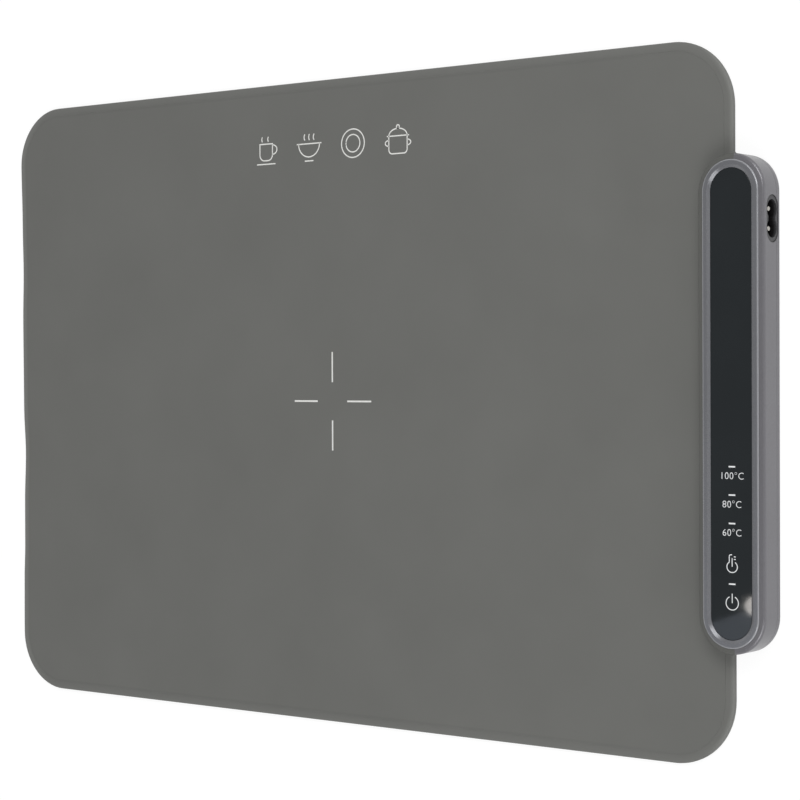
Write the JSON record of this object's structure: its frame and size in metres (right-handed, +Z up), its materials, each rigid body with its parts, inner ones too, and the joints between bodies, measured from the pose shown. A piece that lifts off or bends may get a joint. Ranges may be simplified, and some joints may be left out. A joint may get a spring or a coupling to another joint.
{
  "type": "rollable warming mat",
  "caption": "Flat silicone food-warming mat with rounded corners that rolls up towards a slim touch controller with a two-pin mains inlet.",
  "frame": {"origin": "on the table, under the middle of the object's box", "axes": "+Z up from the table, +X from the mat's free edge to the controller, +Y across the mat"},
  "size_m": [0.4712, 0.32, 0.015],
  "materials": {
    "silicone": "matte grey silicone with a fine grain",
    "heater_carbon": "printed carbon film with copper busbars",
    "case_paint": "satin silver-grey metallic paint",
    "bezel_satin": "satin silver-grey frame",
    "lens_black": "gloss black cover panel",
    "seal_rubber": "matte black",
    "screw_steel": "zinc-plated steel",
    "clamp_steel": "plain steel strip",
    "board_green": "green solder mask",
    "part_black": "moulded black",
    "part_yellow": "moulded yellow",
    "part_blue": "dipped blue coating",
    "lamp_clear": "clear lamp body",
    "pad_grey": "conductive foam",
    "fuse_glass": "glazed body with metal caps",
    "inlet_black": "moulded dark grey",
    "pin_nickel": "nickel-plated brass",
    "wire_black": "insulated wire",
    "sensor_amber": "polyimide film",
    "can_silver": "drawn can"
  },
  "bodies": {
    "controller": {"mat_anchor_strip": "silicone", "heater_film_00": "heater_carbon", "temperature_sensor": "sensor_amber", "lower_shell": "case_paint", "upper_shell": "case_paint", "case_cuff": "silicone", "bezel_ring": "bezel_satin", "touch_lens": "lens_black", "case_seal": "seal_rubber", "case_screws": "screw_steel", "screw_plugs": "seal_rubber", "clamp_bar": "clamp_steel", "clamp_screws": "screw_steel", "display_board": "board_green", "display_screws": "screw_steel", "light_mask": "part_black", "indicator_leds": "lamp_clear", "touch_pads": "pad_grey", "control_chip": "part_black", "link_header": "part_black", "power_board": "board_green", "power_screws": "screw_steel", "mains_fuse": "fuse_glass", "varistor": "part_blue", "film_capacitor": "part_yellow", "smoothing_capacitors": "can_silver", "supply_inductor": "part_black", "thermal_cutout": "can_silver", "power_triac": "part_black", "heater_tabs": "pin_nickel", "inlet_housing": "inlet_black", "inlet_pins": "pin_nickel", "inlet_leads": "wire_black"},
    "roll_01": {"mat_strip_01": "silicone", "heater_film_01": "heater_carbon"},
    "roll_02": {"mat_strip_02": "silicone", "heater_film_02": "heater_carbon"},
    "roll_03": {"mat_strip_03": "silicone", "heater_film_03": "heater_carbon"},
    "roll_04": {"mat_strip_04": "silicone", "heater_film_04": "heater_carbon"},
    "roll_05": {"mat_strip_05": "silicone", "heater_film_05": "heater_carbon"},
    "roll_06": {"mat_strip_06": "silicone", "heater_film_06": "heater_carbon"},
    "roll_07": {"mat_strip_07": "silicone", "heater_film_07": "heater_carbon"},
    "roll_08": {"mat_strip_08": "silicone", "heater_film_08": "heater_carbon"},
    "roll_09": {"mat_strip_09": "silicone", "heater_film_09": "heater_carbon"},
    "roll_10": {"mat_strip_10": "silicone", "heater_film_10": "heater_carbon"},
    "roll_11": {"mat_strip_11": "silicone", "heater_film_11": "heater_carbon"},
    "roll_12": {"mat_strip_12": "silicone", "heater_film_12": "heater_carbon"},
    "roll_13": {"mat_strip_13": "silicone", "heater_film_13": "heater_carbon"}
  },
  "joints": [
    {"name": "mat_bend_01", "type": "hinge", "parent": "controller", "child": "roll_01", "pos_m": [0.17037, 0, 0.0032], "axis": [0, 1, 0], "range_deg": [0, 16]},
    {"name": "mat_bend_02", "type": "hinge", "parent": "roll_01", "child": "roll_02", "pos_m": [0.13914, 0, 0.0032], "axis": [0, 1, 0], "range_deg": [0, 25.92]},
    {"name": "mat_bend_03", "type": "hinge", "parent": "roll_02", "child": "roll_03", "pos_m": [0.10791, 0, 0.0032], "axis": [0, 1, 0], "range_deg": [0, 27.84]},
    {"name": "mat_bend_04", "type": "hinge", "parent": "roll_03", "child": "roll_04", "pos_m": [0.07668, 0, 0.0032], "axis": [0, 1, 0], "range_deg": [0, 29.76]},
    {"name": "mat_bend_05", "type": "hinge", "parent": "roll_04", "child": "roll_05", "pos_m": [0.04545, 0, 0.0032], "axis": [0, 1, 0], "range_deg": [0, 31.68]},
    {"name": "mat_bend_06", "type": "hinge", "parent": "roll_05", "child": "roll_06", "pos_m": [0.01422, 0, 0.0032], "axis": [0, 1, 0], "range_deg": [0, 33.6]},
    {"name": "mat_bend_07", "type": "hinge", "parent": "roll_06", "child": "roll_07", "pos_m": [-0.01701, 0, 0.0032], "axis": [0, 1, 0], "range_deg": [0, 35.52]},
    {"name": "mat_bend_08", "type": "hinge", "parent": "roll_07", "child": "roll_08", "pos_m": [-0.04824, 0, 0.0032], "axis": [0, 1, 0], "range_deg": [0, 37.44]},
    {"name": "mat_bend_09", "type": "hinge", "parent": "roll_08", "child": "roll_09", "pos_m": [-0.07947, 0, 0.0032], "axis": [0, 1, 0], "range_deg": [0, 39.36]},
    {"name": "mat_bend_10", "type": "hinge", "parent": "roll_09", "child": "roll_10", "pos_m": [-0.1107, 0, 0.0032], "axis": [0, 1, 0], "range_deg": [0, 41.28]},
    {"name": "mat_bend_11", "type": "hinge", "parent": "roll_10", "child": "roll_11", "pos_m": [-0.14193, 0, 0.0032], "axis": [0, 1, 0], "range_deg": [0, 43.2]},
    {"name": "mat_bend_12", "type": "hinge", "parent": "roll_11", "child": "roll_12", "pos_m": [-0.17316, 0, 0.0032], "axis": [0, 1, 0], "range_deg": [0, 45.12]},
    {"name": "mat_bend_13", "type": "hinge", "parent": "roll_12", "child": "roll_13", "pos_m": [-0.20439, 0, 0.0032], "axis": [0, 1, 0], "range_deg": [0, 47.04]}
  ]
}
